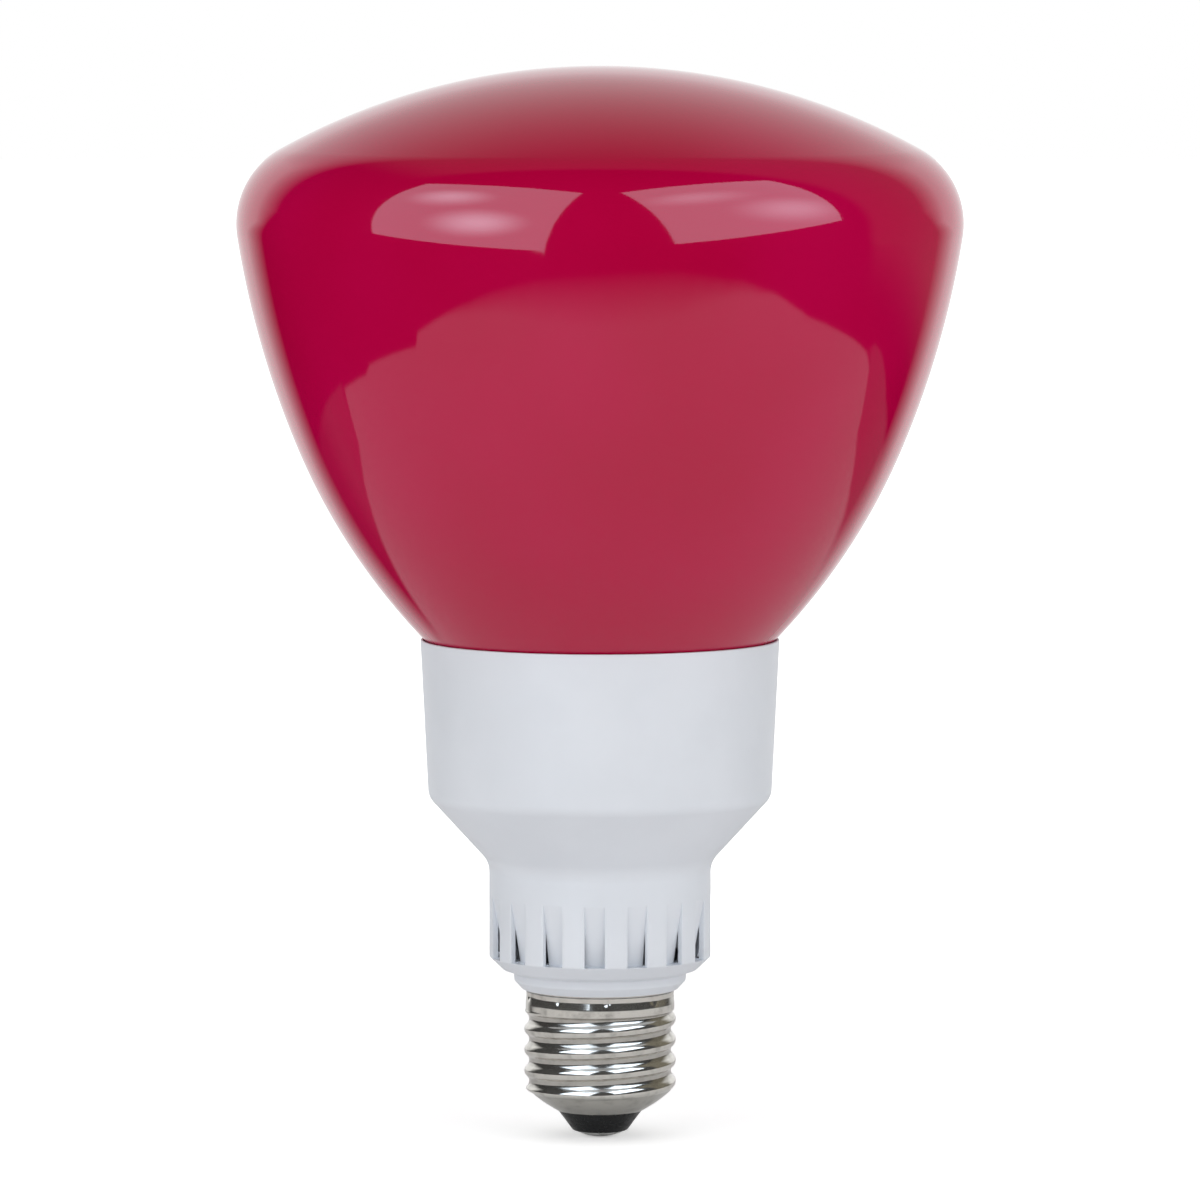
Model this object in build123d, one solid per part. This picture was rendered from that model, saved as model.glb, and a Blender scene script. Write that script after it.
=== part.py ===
from build123d import *
from math import asin, atan2, cos, degrees, radians, sin, sqrt
import os

os.makedirs("parts", exist_ok=True)

# Compact fluorescent reflector lamp on a 26 mm screw base.
# Millimetres, base down, lamp axis on Z, tip of the contact at the origin, front towards -Y.

# Fits
fit_gap = 0.1  # cemented, pressed and soldered faces
slide_gap = 0.25  # pieces that are put together by hand
past = 1.0  # how far a cut runs beyond the face that it leaves through

# Contact and insulator
contact_radius = 4.4
contact_height = 1.1
stem_radius = 0.9
stem_height = 2.6
insulator_foot_radius = 4.7
insulator_height = 3.5
insulator_flange = 3.3
insulator_depth = 1.3

# Screw shell
thread_diameter = 26.2
thread_depth = 0.85
thread_pitch = 3.63
thread_start = 6.0  # height of the crest at +X, a turn below the first full one
thread_turns = 4.75
ridge_share = 0.4  # half of a ridge, as a share of the pitch
root_share = 0.1  # share of the depth that the plain tube fills
shell_wall = 0.4
shell_hole_radius = 7.4
shell_floor_height = 3.5
shell_height = 21.25
band_radius = 12.85
band_height = 3.6
band_shoulder = 0.6
band_groove_height = 1.0
band_groove_depth = 0.15
stake_count = 9
stake_turn = -84.0
stake_height = 2.3  # of the groove and its stakes, above the foot of the band
stake_radius = 0.9
stake_depth = 0.3

# Ballast housing
wall = 1.8
spigot_wall = 1.5
spigot_length = 13.0
seat_radius = 13.5
ring_radius = 14.9
ring_wall = 1.0
ring_bevel = 1.4
ring_height = 2.8
ring_draft = 0.1
ring_blend = 0.3
bevel_blend = 0.5
fin_foot_radius = 16.8
fin_foot_rise = 0.6  # from the ring out to that radius
collar_radius = 19.1
collar_wall = 0.9
collar_bevel = 2.2
collar_height = 16.3
collar_blend = 4.5
cone_height = 11.4
drum_foot_radius = 29.55
drum_blend = 3.0
drum_height = 27.1
mouth_radius = 30.9
rib_count = 6
rib_turn = 30.0
rib_thickness = 1.6
rib_foot_radius = 21.5

# Vents in the collar
vent_count = 16
vent_turn = -92.8
vent_width = 3.4
vent_height = 10.8
louvre_depth = 2.4  # of its foot, behind the face of the collar
louvre_wall = 1.5
louvre_lap = 0.4
shelf_lip = 0.15  # of the shelf inside the vents, above their foot
shelf_room = 0.2  # behind the foot of a louvre

# Glass reflector
overall_length = 184.65
glass_diameter = 124.7
glass_wall = 1.2
crown_radius = 113.0
rim_radius = 14.6
shoulder_angle = 8.85  # fall of the outward normal where the flank leaves the rim
seat_angle = 43.8  # and where it meets the mouth of the housing
seat_lip = 0.6
neck_gap = 0.4  # room round the neck at the foot of the drum
neck_blend = 6.0
seat_gap = 0.15
cement_height = 7.0

# Board and tube holder
board_height = 2.6  # of its underside, above the foot of the drum
board_radius = 25.5
board_thickness = 1.6
holder_height = 11.6  # of its underside, above the foot of the drum
holder_thickness = 2.0
boss_wall = 1.4
boss_height = 4.0
pillar_radius = 1.6
pillar_inset = 2.4  # from the edge of the board to the middle of a pillar
pillar_count = 3
pillar_turn = 30.0

# Discharge tube
tube_diameter = 11.5
bend_count = 3
leg_spacing = 14.0
bend_place = 13.5  # distance from the lamp axis to the middle of a bend
tube_drop = 3.5  # below the holder's plate
tube_reach = 80.0  # straight part above the holder's plate
bridge_radius = 2.6
bridge_rise = 9.0
tube_foot_bevel = 1.5

# Choke
choke_place = 9.2
core_depth = 5.0
core_width = 16.0
core_height = 13.0
core_leg = 4.4
core_yoke = 2.3
coil_corner = 1.5

# Small parts on the board
can_place = 7.6
can_radius = 5.0
can_height = 20.0
can_groove = 0.6
can_groove_height = 2.5
can_bevel = 0.8
film_length = 9.0
film_depth = 4.4
film_height = 8.0
film_blend = 1.2
film_bevel = 0.6
film_places = ((140, 15.0), (220, 15.0), (270, 13.5))
package_length = 8.0
package_depth = 3.2
package_height = 9.0
package_chamfer = 0.6
package_places = ((45, 17.5), (315, 17.5))
diode_radius = 1.35
diode_length = 5.2
diode_places = ((-18, 18.5), (-6, 18.5), (6, 18.5), (18, 18.5))
fuse_radius = 1.8
fuse_length = 7.0
fuse_place = 16.8
pin_radius = 0.35
pin_rise = 1.0
pin_gap = 1.2  # from the body to the middle of the pin that is bent back
toroid_place = 15.4
toroid_radius = 5.0
toroid_bore = 2.6
toroid_height = 3.4
turn_wire = 0.5
turn_count = 6

# Leads and posts
post_side = 1.0
post_height = 5.0
post_place = 23.0
post_angle = 7.0
lead_radius = 0.75
conductor_radius = 0.45
tube_lead_radius = 0.3
tube_lead_pitch = 3.0
tube_lead_drop = 1.6
neutral_place = 8.4
neutral_bend = 2.0
notch_width = 2.2
notch_height = 4.0

# Places that follow from the sizes above
crest_radius = thread_diameter / 2
root_radius = crest_radius - thread_depth
core_radius = root_radius + root_share * thread_depth
shell_foot_z = contact_height + insulator_height
shell_floor_z = shell_foot_z + shell_floor_height
shell_rim_z = shell_foot_z + shell_height
band_z = shell_rim_z - band_height
floor_slope = shell_floor_height / (core_radius - shell_hole_radius)
floor_rise = shell_wall * sqrt(1 + floor_slope**2)
spigot_radius = core_radius - shell_wall - slide_gap
ring_z = shell_rim_z + ring_height
fin_foot_z = ring_z + fin_foot_rise
bevel_z = fin_foot_z + collar_bevel
cone_z = bevel_z + collar_height
drum_z = cone_z + cone_height
mouth_z = drum_z + drum_height
vent_z = bevel_z
vent_top_z = vent_z + vent_height
shelf_z = vent_z + shelf_lip
shelf_radius = collar_radius - louvre_depth - louvre_wall - shelf_room
neck_radius = drum_foot_radius - wall - neck_gap
board_z = drum_z + board_height
board_top_z = board_z + board_thickness
holder_z = drum_z + holder_height
holder_top_z = holder_z + holder_thickness
tube_radius = tube_diameter / 2
tube_foot_z = holder_z - tube_drop
bend_z = holder_top_z + tube_reach
leg_radius = sqrt(bend_place**2 + (leg_spacing / 2) ** 2)
leg_turn = degrees(atan2(leg_spacing / 2, bend_place))
upright = (Align.CENTER, Align.CENTER, Align.MIN)
outward = (Align.MIN, Align.CENTER, Align.MIN)


def turned(edges):
    return revolve(Plane.XZ * make_face(edges), Axis.Z)


def turned_polygon(*points):
    return turned(Polyline(*points, close=True))


def at_polar(angle, radius, z=0.0):
    return Pos(radius * cos(radians(angle)), radius * sin(radians(angle)), z) * Rot(0, 0, angle)


def polar_point(angle, radius, z):
    return Vector(radius * cos(radians(angle)), radius * sin(radians(angle)), z)


def wire_along(path, radius):
    start = Plane(origin=path @ 0, z_dir=path % 0)
    return sweep(start * Circle(radius), path=path, transition=Transition.RIGHT)


# Screw base


def floor_inside(radius):
    return shell_foot_z + floor_slope * (radius - shell_hole_radius) + floor_rise


def make_contact():
    dome = (contact_radius**2 + contact_height**2) / (2 * contact_height)
    half = asin(contact_radius / dome) / 2
    outline = [
        ThreePointArc(
            (0, 0),
            (dome * sin(half), dome - dome * cos(half)),
            (contact_radius, contact_height),
        ),
        Polyline(
            (contact_radius, contact_height),
            (stem_radius, contact_height),
            (stem_radius, contact_height + stem_height),
            (0, contact_height + stem_height),
            (0, 0),
        ),
    ]
    return turned(outline)


def make_insulator():
    bore = stem_radius + fit_gap
    throat = shell_hole_radius - fit_gap
    flange = throat + insulator_flange
    top = floor_inside(flange) + fit_gap + insulator_depth
    return turned_polygon(
        (bore, contact_height),
        (insulator_foot_radius, contact_height),
        (throat, shell_foot_z),
        (throat, floor_inside(throat) + fit_gap),
        (flange, floor_inside(flange) + fit_gap),
        (flange, top),
        (bore, top),
    )


def make_thread_ridge():
    # Crest and root arcs of one radius, tangent half way down the flank.
    knuckle = (thread_depth**2 + thread_pitch**2 / 4) / (4 * thread_depth)
    quarter = thread_pitch / 4
    edge = ridge_share * thread_pitch
    edge_depth = knuckle - sqrt(knuckle**2 - (thread_pitch / 2 - edge) ** 2)
    turn = asin((thread_pitch / 2 - quarter) / knuckle)
    middle = (asin((thread_pitch / 2 - edge) / knuckle) + turn) / 2
    way = knuckle * sin(middle)
    way_depth = knuckle - knuckle * cos(middle)
    sunk = -thread_depth / 3
    path = Helix(thread_pitch, thread_turns * thread_pitch, root_radius, center=(0, 0, thread_start))
    profile = [
        ThreePointArc((thread_depth / 2, -quarter), (thread_depth, 0), (thread_depth / 2, quarter)),
        ThreePointArc(
            (thread_depth / 2, quarter),
            (way_depth, thread_pitch / 2 - way),
            (edge_depth, edge),
        ),
        Polyline((edge_depth, edge), (sunk, edge), (sunk, -edge), (edge_depth, -edge)),
        ThreePointArc(
            (edge_depth, -edge),
            (way_depth, way - thread_pitch / 2),
            (thread_depth / 2, -quarter),
        ),
    ]
    start = Plane(origin=path @ 0, x_dir=(1, 0, 0), z_dir=path % 0)
    return sweep(start * make_face(profile), path=path, is_frenet=True)


def make_shell():
    crest_z = shell_floor_z + floor_slope * (crest_radius - core_radius)
    shoulder_z = band_z - band_shoulder
    bore = core_radius - shell_wall
    core = Pos(0, 0, shell_foot_z) * Cylinder(core_radius, shell_height, align=upright)
    reach = turned_polygon(
        (0, shell_foot_z),
        (shell_hole_radius, shell_foot_z),
        (crest_radius, crest_z),
        (crest_radius, shoulder_z - band_shoulder),
        (bore, band_z + band_shoulder),
        (0, band_z + band_shoulder),
    )
    band = turned_polygon(
        (0, shoulder_z),
        (core_radius - shell_wall / 2, shoulder_z),
        (band_radius, band_z),
        (band_radius, shell_rim_z),
        (0, shell_rim_z),
    )
    inside = turned_polygon(
        (0, shell_foot_z - past),
        (shell_hole_radius, shell_foot_z - past),
        (shell_hole_radius, floor_inside(shell_hole_radius)),
        (bore, floor_inside(bore)),
        (bore, shoulder_z + shell_wall),
        (band_radius - shell_wall, band_z + shell_wall),
        (band_radius - shell_wall, shell_rim_z + past),
        (0, shell_rim_z + past),
    )
    shell = (core + make_thread_ridge()) & reach
    shell = shell + band - inside
    stake_z = band_z + stake_height
    groove_radius = (band_groove_height**2 / 4 + band_groove_depth**2) / (2 * band_groove_depth)
    shell -= Pos(0, 0, stake_z) * Torus(band_radius - band_groove_depth + groove_radius, groove_radius)
    for index in range(stake_count):
        place = at_polar(stake_turn + index * 360 / stake_count, band_radius, stake_z)
        shell -= place * Pos(stake_radius - stake_depth, 0, 0) * Sphere(stake_radius)
    return shell


# Glass reflector


def falling(angle):
    return Vector(cos(radians(angle)), -sin(radians(angle)))


def fall_of(vector):
    return degrees(atan2(-vector.Y, vector.X))


def flank_arcs(start, end):
    # Two arcs, tangent to each other, to the rim and to the slope of the seat.
    normals = (falling(shoulder_angle), falling(seat_angle))
    tangents = [Vector(normal.Y, -normal.X) for normal in normals]
    chord = end - start
    bend = 2 * (1 - tangents[0].dot(tangents[1]))
    along = chord.dot(tangents[0] + tangents[1])
    reach = (sqrt(along**2 + bend * chord.dot(chord)) - along) / bend
    middle = (start + end + (tangents[0] - tangents[1]) * reach) * 0.5
    arcs = []
    for point, normal in ((start, normals[0]), (end, normals[1])):
        span = middle - point
        radius = -span.dot(span) / (2 * span.dot(normal))
        arcs.append((point - normal * radius, radius))
    return arcs, fall_of(middle - arcs[0][0])


def glass_edges(grow, foot_z):
    # Tangent arcs from the crown to the neck, all set outwards by grow.
    rim_place = glass_diameter / 2 - rim_radius
    crown_z = overall_length - crown_radius
    reach = crown_radius - rim_radius
    crown_angle = degrees(asin(rim_place / reach))
    rim_centre = Vector(rim_place, crown_z + sqrt(reach**2 - rim_place**2))
    flank_start = rim_centre + falling(shoulder_angle) * rim_radius
    seat = Vector(mouth_radius - seat_lip, mouth_z)
    flank, flank_angle = flank_arcs(flank_start, seat)
    (upper_centre, upper_radius), (lower_centre, lower_radius) = flank
    across = neck_radius + neck_blend - lower_centre.X
    down = sqrt((lower_radius + neck_blend) ** 2 - across**2)
    neck_angle = degrees(atan2(down, across))
    neck_z = lower_centre.Y - down
    crown = CenterArc((0, crown_z), crown_radius + grow, 90, -crown_angle)
    rim = CenterArc(rim_centre, rim_radius + grow, 90 - crown_angle, crown_angle - 90 - shoulder_angle)
    upper = CenterArc(upper_centre, upper_radius + grow, -shoulder_angle, shoulder_angle - flank_angle)
    lower = CenterArc(lower_centre, lower_radius + grow, -flank_angle, flank_angle - neck_angle)
    blend_centre = (neck_radius + neck_blend, neck_z)
    blend = CenterArc(blend_centre, neck_blend - grow, 180 - neck_angle, neck_angle)
    neck = Line((neck_radius + grow, neck_z), (neck_radius + grow, foot_z))
    return [crown, rim, upper, lower, blend, neck]


def make_glass():
    foot_z = holder_top_z + fit_gap
    outside = glass_edges(0, foot_z)
    inside = glass_edges(-glass_wall, foot_z)
    foot = Line((neck_radius, foot_z), (neck_radius - glass_wall, foot_z))
    axis = Line((0, overall_length - glass_wall), (0, overall_length))
    return turned(outside + inside + [foot, axis])


def make_glass_room():
    foot_z = holder_top_z
    outside = glass_edges(seat_gap, foot_z)
    foot = Line((neck_radius + seat_gap, foot_z), (0, foot_z))
    axis = Line((0, foot_z), (0, overall_length + seat_gap))
    return turned(outside + [foot, axis])


# Ballast housing


def bore_at(z):
    # Inside of the drum, which follows its draft.
    draft = (mouth_radius - drum_foot_radius) / drum_height
    return drum_foot_radius - wall + draft * (z - drum_z)


def lift(rise, run, thickness):
    # How far the inside corner of a sloped wall lies above the outside one.
    slope = rise / run
    return thickness * (sqrt(1 + slope**2) - slope)


def housing_outside():
    return FilletPolyline(
        (mouth_radius, mouth_z),
        (drum_foot_radius, drum_z),
        (collar_radius, cone_z),
        (collar_radius, bevel_z),
        (fin_foot_radius, fin_foot_z),
        (ring_radius, ring_z),
        (ring_radius - ring_draft, shell_rim_z + ring_bevel),
        (seat_radius, shell_rim_z),
        radius=[drum_blend, collar_blend, bevel_blend, ring_blend, ring_blend, bevel_blend],
    )


def make_vents(body):
    cuts = []
    louvres = []
    foot_z = vent_z - louvre_lap
    foot_radius = collar_radius - louvre_depth - louvre_depth / vent_height * louvre_lap
    band = turned_polygon(
        (collar_radius, vent_top_z),
        (foot_radius, foot_z),
        (foot_radius - louvre_wall, foot_z),
        (collar_radius - louvre_wall, vent_top_z),
    )
    tall = vent_top_z - foot_z
    slot = Pos(spigot_radius, 0, vent_z) * Box(collar_radius, vent_width, vent_height, align=outward)
    slice_box = Pos(spigot_radius, 0, foot_z) * Box(collar_radius, vent_width, tall, align=outward)
    louvre = band & slice_box
    for index in range(vent_count):
        turn = Rot(0, 0, vent_turn + index * 360 / vent_count)
        cuts.append(turn * slot)
        louvres.append(turn * louvre)
    return body - cuts + louvres


def make_ribs(room):
    ribs = []
    outline = Polyline(
        (rib_foot_radius, cone_z),
        (rib_foot_radius, board_z),
        (board_radius + slide_gap, board_z),
        (board_radius + slide_gap, holder_z),
        (mouth_radius, holder_z),
        (mouth_radius, cone_z),
        close=True,
    )
    rib = extrude(Plane.XZ * make_face(outline), rib_thickness / 2, both=True)
    for index in range(rib_count):
        ribs.append(Rot(0, 0, rib_turn + index * 360 / rib_count) * rib & room)
    return ribs


def make_housing():
    drum_lift = lift(cone_height, drum_foot_radius - collar_radius, wall)
    spigot_z = shell_rim_z - spigot_length
    spigot_bore = spigot_radius - spigot_wall
    outside = housing_outside()
    foot = Polyline(
        (seat_radius, shell_rim_z),
        (spigot_radius, shell_rim_z),
        (spigot_radius, spigot_z),
        (spigot_bore, spigot_z),
    )
    inside = Polyline(
        (spigot_bore, spigot_z),
        (spigot_bore, shell_rim_z + wall),
        (ring_radius - ring_wall, shell_rim_z + wall),
        (shelf_radius, shelf_z),
        (collar_radius - collar_wall, shelf_z),
        (collar_radius - collar_wall, cone_z + drum_lift),
        (drum_foot_radius - wall, drum_z + drum_lift),
        (bore_at(mouth_z), mouth_z),
    )
    lip = Line((bore_at(mouth_z), mouth_z), (mouth_radius, mouth_z))
    body = turned([outside, foot, inside, lip])
    base = Polyline((seat_radius, shell_rim_z), (0, shell_rim_z), (0, mouth_z), (mouth_radius, mouth_z))
    room = turned([outside, base])
    body = make_vents(body)
    for rib in make_ribs(room):
        body += rib
    body -= make_glass_room()
    notch = Box(2 * spigot_wall, notch_width, notch_height, align=upright)
    return body - at_polar(90, spigot_radius - spigot_wall / 2, spigot_z) * notch


def make_cement():
    foot_z = holder_top_z + fit_gap
    top_z = foot_z + cement_height
    return turned_polygon(
        (neck_radius + fit_gap, foot_z),
        (bore_at(foot_z) - fit_gap, foot_z),
        (bore_at(top_z) - fit_gap, top_z),
        (neck_radius + fit_gap, top_z),
    )


# Tube and its holder


def bend_turn(index):
    return 90 - index * 360 / bend_count


def make_tube():
    tall = bend_z - tube_foot_z
    tube = []
    for index in range(bend_count):
        turn = bend_turn(index)
        for side in (-1, 1):
            leg = Cylinder(tube_radius, tall, align=upright)
            leg = chamfer(leg.edges().filter_by(GeomType.CIRCLE).sort_by(Axis.Z)[:1], tube_foot_bevel)
            tube.append(at_polar(turn + side * leg_turn, leg_radius, tube_foot_z) * leg)
        arch = Torus(leg_spacing / 2, tube_radius, major_angle=180)
        tube.append(at_polar(turn, bend_place, bend_z) * Rot(0, 0, 90) * Rot(90, 0, 0) * arch)
    for index in range(bend_count - 1):
        start = polar_point(bend_turn(index) - leg_turn, leg_radius, holder_top_z + bridge_rise)
        end = polar_point(bend_turn(index + 1) + leg_turn, leg_radius, holder_top_z + bridge_rise)
        tube.append(wire_along(Line(start, end), bridge_radius))
    return tube[0].fuse(*tube[1:])


def make_holder():
    holder = Pos(0, 0, holder_z) * Cylinder(bore_at(holder_z) - slide_gap, holder_thickness, align=upright)
    holes = []
    for index in range(bend_count):
        for side in (-1, 1):
            place = at_polar(bend_turn(index) + side * leg_turn, leg_radius, holder_z)
            boss = Cylinder(tube_radius + boss_wall, holder_thickness + boss_height, align=upright)
            holder += place * boss
            hole = Cylinder(tube_radius + slide_gap, 3 * (holder_thickness + boss_height))
            holes.append(place * hole)
    for index in range(pillar_count):
        turn = pillar_turn + index * 360 / pillar_count
        tall = holder_z - board_top_z - fit_gap
        place = at_polar(turn, board_radius - pillar_inset, board_top_z + fit_gap)
        holder += place * Cylinder(pillar_radius, tall, align=upright)
    return holder - holes


# Board and what hangs from it


def hung(angle, radius):
    # A place on the underside of the board, with Z down and X outwards.
    return at_polar(angle, radius, board_z) * Rot(180, 0, 0)


def make_board():
    return Pos(0, 0, board_z) * Cylinder(board_radius, board_thickness, align=upright)


def make_can():
    can = turned_polygon(
        (0, 0),
        (can_radius - can_bevel, 0),
        (can_radius, can_bevel),
        (can_radius, can_groove_height),
        (can_radius - can_groove, can_groove_height + can_groove),
        (can_radius, can_groove_height + 2 * can_groove),
        (can_radius, can_height - can_bevel),
        (can_radius - can_bevel, can_height),
        (0, can_height),
    )
    return hung(180, can_place) * can


def make_core():
    window = (core_width - 2 * core_leg) / 2
    core = Box(core_depth, core_width, core_height, align=upright)
    for side in (-1, 1):
        hole = Box(2 * core_depth, window, core_height - 2 * core_yoke)
        core -= Pos(0, side * (core_leg + window) / 2, core_height / 2) * hole
    return hung(0, choke_place) * core


def make_coil():
    tall = core_height - 2 * core_yoke - 2 * slide_gap
    bare_depth = core_depth + 2 * slide_gap
    bare_width = core_leg + 2 * slide_gap
    build = (core_width - 2 * core_leg) / 2 - 2 * slide_gap
    outline = RectangleRounded(bare_depth + 2 * build, bare_width + 2 * build, coil_corner)
    outline -= Rectangle(bare_depth, bare_width)
    return hung(0, choke_place) * Pos(0, 0, core_yoke + slide_gap) * extrude(outline, tall)


def make_films():
    film = Box(film_depth, film_length, film_height, align=upright)
    film = fillet(film.edges().filter_by(Axis.Z), film_blend)
    film = chamfer(film.faces().sort_by(Axis.Z)[-1].edges(), film_bevel)
    return [hung(angle, radius) * film for angle, radius in film_places]


def make_packages():
    package = Box(package_depth, package_length, package_height, align=upright)
    package = chamfer(package.edges().filter_by(Axis.Z), package_chamfer)
    return [hung(angle, radius) * package for angle, radius in package_places]


def make_axial(radius, length):
    # Stands on one pin, with the other bent back to the board.
    body = Pos(0, 0, pin_rise) * Cylinder(radius, length, align=upright)
    far_z = pin_rise + length + pin_rise
    path = Polyline(
        (0, 0, 0),
        (0, 0, far_z),
        (radius + pin_gap, 0, far_z),
        (radius + pin_gap, 0, 0),
    )
    return body + wire_along(path, pin_radius)


def make_diodes():
    diode = make_axial(diode_radius, diode_length)
    return [hung(angle, radius) * diode for angle, radius in diode_places]


def make_fuse():
    return hung(180, fuse_place) * make_axial(fuse_radius, fuse_length)


def toroid_frame():
    return hung(90, toroid_place) * Pos(0, 0, toroid_height / 2 + 2 * fit_gap + turn_wire)


def make_toroid():
    return toroid_frame() * (
        Cylinder(toroid_radius, toroid_height) - Cylinder(toroid_bore, 2 * toroid_height)
    )


def make_toroid_winding():
    # The turns, and the run of wire outside the ring that joins them.
    middle = (toroid_radius + toroid_bore) / 2
    wide = toroid_radius - toroid_bore + 2 * fit_gap
    tall = toroid_height + 2 * fit_gap
    turn = Box(wide + 2 * turn_wire, turn_wire, tall + 2 * turn_wire) - Box(wide, 2 * turn_wire, tall)
    inside = toroid_radius + fit_gap
    winding = Cylinder(inside + turn_wire, turn_wire) - Cylinder(inside, 2 * turn_wire)
    for index in range(turn_count):
        winding += at_polar(index * 360 / turn_count, middle) * turn
    return toroid_frame() * winding


# Posts and leads


def end_turns():
    return (bend_turn(0) + leg_turn, bend_turn(bend_count - 1) - leg_turn)


def make_posts():
    posts = []
    for turn in end_turns():
        for side in (-1, 1):
            place = at_polar(turn + side * post_angle, post_place, board_top_z)
            posts.append(place * Box(post_side, post_side, post_height, align=upright))
    return posts


def make_tube_leads():
    leads = []
    low_z = tube_foot_z - tube_lead_drop
    for turn in end_turns():
        for side in (-1, 1):
            start = (at_polar(turn, leg_radius) * Pos(0, side * tube_lead_pitch / 2, 0)).position
            end = polar_point(turn + side * post_angle, post_place - post_side / 2 - fit_gap, low_z)
            path = Polyline(
                (start.X, start.Y, tube_foot_z),
                (start.X, start.Y, low_z),
                (end.X, end.Y, low_z),
            )
            leads.append(wire_along(path, tube_lead_radius))
    return leads


def make_live_lead():
    bare_z = contact_height + stem_height
    flange = shell_hole_radius - fit_gap + insulator_flange
    sleeve_z = floor_inside(flange) + fit_gap + insulator_depth + slide_gap
    return turned_polygon(
        (0, bare_z),
        (conductor_radius, bare_z),
        (conductor_radius, sleeve_z),
        (lead_radius, sleeve_z),
        (lead_radius, board_z),
        (0, board_z),
    )


def make_neutral_lead():
    low_z = shell_rim_z - spigot_length + notch_height / 2
    reach = core_radius - shell_wall - fit_gap
    path = FilletPolyline(
        (0, neutral_place, board_z),
        (0, neutral_place, low_z),
        (0, reach, low_z),
        radius=neutral_bend,
    )
    return wire_along(path, lead_radius)


single_nodes = {
    "glass_reflector": make_glass,
    "neck_cement": make_cement,
    "ballast_housing": make_housing,
    "screw_shell": make_shell,
    "base_insulator": make_insulator,
    "centre_contact": make_contact,
    "discharge_tube": make_tube,
    "tube_holder": make_holder,
    "circuit_board": make_board,
    "filter_capacitor": make_can,
    "choke_core": make_core,
    "choke_coil": make_coil,
    "drive_toroid": make_toroid,
    "toroid_winding": make_toroid_winding,
    "fuse_resistor": make_fuse,
    "live_lead": make_live_lead,
    "neutral_lead": make_neutral_lead,
}
repeated_nodes = {
    "film_capacitor": make_films(),
    "power_transistor": make_packages(),
    "rectifier_diode": make_diodes(),
    "wire_post": make_posts(),
    "tube_lead": make_tube_leads(),
}

for name, make in single_nodes.items():
    export_step(make(), f"parts/{name}.step")
for name, copies in repeated_nodes.items():
    for index, copy in enumerate(copies):
        export_step(copy, f"parts/{name}_{index + 1}.step")
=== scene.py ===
import bmesh
import bpy
from math import asin, atan2, ceil, cos, degrees, hypot, pi, radians, sin, sqrt, tan, tau
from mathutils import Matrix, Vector, noise


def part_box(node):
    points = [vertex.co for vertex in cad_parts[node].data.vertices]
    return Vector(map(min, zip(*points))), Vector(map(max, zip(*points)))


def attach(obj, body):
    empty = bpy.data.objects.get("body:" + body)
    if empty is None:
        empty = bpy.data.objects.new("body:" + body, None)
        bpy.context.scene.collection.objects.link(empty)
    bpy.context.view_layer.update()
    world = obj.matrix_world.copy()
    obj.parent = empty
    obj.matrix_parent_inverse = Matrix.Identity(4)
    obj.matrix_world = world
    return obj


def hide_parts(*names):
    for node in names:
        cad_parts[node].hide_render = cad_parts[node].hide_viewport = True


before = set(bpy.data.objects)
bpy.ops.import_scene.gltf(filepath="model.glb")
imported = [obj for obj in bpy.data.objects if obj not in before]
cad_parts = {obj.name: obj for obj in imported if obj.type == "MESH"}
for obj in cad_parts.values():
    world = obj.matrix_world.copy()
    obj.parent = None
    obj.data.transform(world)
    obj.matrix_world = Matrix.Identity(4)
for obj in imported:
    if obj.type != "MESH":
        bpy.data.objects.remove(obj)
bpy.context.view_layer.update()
mm = 0.001
print("frame loaded:", len(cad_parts), "nodes")


# Shader helpers


class Field:
    # an output socket, with arithmetic that adds Math nodes
    def __init__(self, finish, socket):
        self.finish = finish
        self.socket = socket

    def math(self, operation, *terms):
        return self.finish.node("Math", {"operation": operation}, dict(enumerate(terms)))

    def __add__(self, other):
        return self.math("ADD", self, other)

    def __radd__(self, other):
        return self.math("ADD", other, self)

    def __sub__(self, other):
        return self.math("SUBTRACT", self, other)

    def __rsub__(self, other):
        return self.math("SUBTRACT", other, self)

    def __mul__(self, other):
        return self.math("MULTIPLY", self, other)

    def __rmul__(self, other):
        return self.math("MULTIPLY", other, self)


class Nodes:
    # a node tree, whose nodes are all added by one method
    def __init__(self, tree):
        self.tree = tree

    def feed(self, node, sockets):
        for key, value in sockets.items():
            if isinstance(value, Field):
                self.tree.links.new(value.socket, node.inputs[key])
            else:
                node.inputs[key].default_value = value

    def node(self, kind, settings, sockets, output=0):
        node = self.tree.nodes.new("ShaderNode" + kind)
        for key, value in settings.items():
            setattr(node, key, value)
        self.feed(node, sockets)
        return Field(self, node.outputs[output])

    def rays(self, first, *others):
        # 1 for the kinds of ray named, 0 for the rest
        seen = self.node("LightPath", {}, {}, first)
        for name in others:
            seen = seen.math("MAXIMUM", seen, self.node("LightPath", {}, {}, name))
        return seen


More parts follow.
